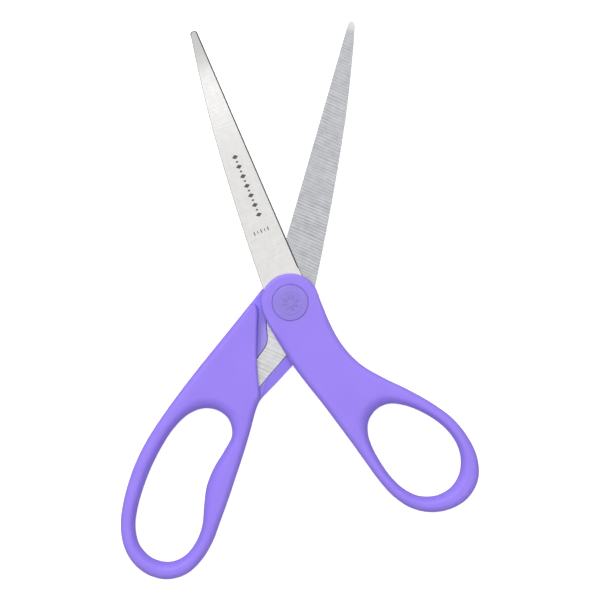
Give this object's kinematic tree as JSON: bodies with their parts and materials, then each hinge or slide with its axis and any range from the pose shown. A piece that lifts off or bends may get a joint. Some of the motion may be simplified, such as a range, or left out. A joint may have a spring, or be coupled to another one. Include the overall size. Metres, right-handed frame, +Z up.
{
  "type": "household scissors",
  "caption": "Straight-bladed household paper scissors with moulded finger and thumb loops, part open, turning on a capped pivot screw.",
  "frame": {"origin": "on the pivot axis in the plane that the scissors lie on, at the middle of the back pivot cap's outer face", "axes": "+Y midway between the open blades towards the tips, +Z up out of the lying plane along the pivot axis, +X to the side of the thumb loop"},
  "size_m": [0.1248, 0.1887, 0.011],
  "materials": {
    "blade_steel": "satin ground stainless steel",
    "fastener_steel": "plain turned steel",
    "handle_plastic": "satin lavender moulded plastic",
    "cap_plastic": "satin moulded plastic, a greyer lavender"
  },
  "bodies": {
    "finger_half": {"back_blade": "blade_steel", "finger_handle": "handle_plastic", "back_pivot_cap": "cap_plastic", "pivot_screw": "fastener_steel", "spring_washer": "fastener_steel", "pivot_nut": "fastener_steel"},
    "thumb_half": {"front_blade": "blade_steel", "thumb_handle": "handle_plastic", "front_pivot_cap": "cap_plastic"}
  },
  "joints": [
    {"name": "pivot", "type": "hinge", "parent": "finger_half", "child": "thumb_half", "pos_m": [0, 0, 0], "axis": [0, 0, 1], "range_deg": [-33, 36]}
  ]
}
